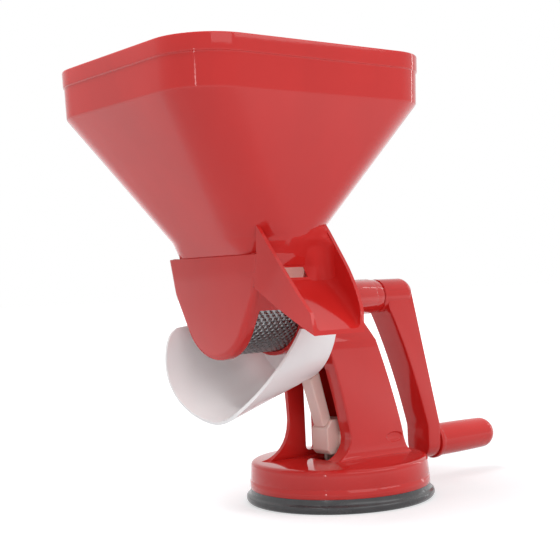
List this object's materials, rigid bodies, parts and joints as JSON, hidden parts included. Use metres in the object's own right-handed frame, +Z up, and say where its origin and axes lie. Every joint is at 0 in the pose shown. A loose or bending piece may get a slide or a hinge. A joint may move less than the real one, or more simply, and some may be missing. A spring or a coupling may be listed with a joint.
{
  "type": "hand crank tomato press",
  "caption": "Hand crank tomato press with a wide hopper, a sieve drum, a skins chute, a juice tray and a crank, on a column with a lever-locked suction foot.",
  "frame": {"origin": "centre of the rubber foot's flat underside, on the table", "axes": "+Z up, +X along the crank shaft towards the crank, -Y towards the side of the skins chute"},
  "size_m": [0.31, 0.174, 0.2816],
  "materials": {
    "red_plastic": "moulded, glossy",
    "cream_plastic": "moulded, satin",
    "white_plastic": "milky, lets light through",
    "bush_plastic": "natural acetal",
    "sieve_steel": "perforated sheet",
    "steel": "turned and plated",
    "rubber": "satin moulded"
  },
  "bodies": {
    "stand": {"stand": "red_plastic", "base_plate": "cream_plastic", "base_screws": "steel", "suction_cup": "rubber", "lever_pin": "steel", "bush_drum": "bush_plastic", "bush_crank": "bush_plastic", "shaft_seal": "rubber", "hopper": "red_plastic", "lock_ring": "cream_plastic", "skins_guide": "cream_plastic", "sieve": "sieve_steel"},
    "crank": {"drive_shaft": "steel", "rotor_core": "cream_plastic", "rotor_nut": "steel", "springs_upper": "steel", "springs_lower": "steel", "crank_arm": "red_plastic", "crank_screw": "steel", "grip_pin": "steel"},
    "blade_top": {"blade_upper": "cream_plastic"},
    "blade_bottom": {"blade_lower": "cream_plastic"},
    "grip": {"crank_grip": "red_plastic"},
    "lever": {"suction_lever": "cream_plastic"},
    "stem": {"cup_stem": "cream_plastic"},
    "tray": {"juice_tray": "white_plastic"}
  },
  "joints": [
    {"name": "crank_spin", "type": "hinge", "parent": "stand", "child": "crank", "pos_m": [0, 0, 0.132], "axis": [1, 0, 0], "continuous": true},
    {"name": "grip_spin", "type": "hinge", "parent": "crank", "child": "grip", "pos_m": [0.1, 0, 0.027], "axis": [1, 0, 0], "continuous": true},
    {"name": "blade_upper_press", "type": "slide", "parent": "crank", "child": "blade_top", "axis": [0, 0, -1], "range_m": [0, 0.0015], "stiffness_N_per_m": 800, "springref_m": -0.001, "deforming": ["springs_upper"]},
    {"name": "blade_lower_press", "type": "slide", "parent": "crank", "child": "blade_bottom", "axis": [0, 0, 1], "range_m": [0, 0.0015], "stiffness_N_per_m": 800, "springref_m": -0.001, "deforming": ["springs_lower"]},
    {"name": "lever_swing", "type": "hinge", "parent": "stand", "child": "lever", "pos_m": [0, 0, 0.041], "axis": [0, -1, 0], "range_deg": [0, 70]},
    {"name": "stem_lift", "type": "slide", "parent": "stand", "child": "stem", "axis": [0, 0, 1], "range_m": [0, 0.00344]},
    {"name": "tray_slide", "type": "slide", "parent": "stand", "child": "tray", "axis": [-1, 0, 0], "range_m": [0, 0.1]}
  ],
  "couplings": [
    {"joint": "stem_lift", "follows": "lever_swing", "m_per_rad": 0.002817}
  ]
}
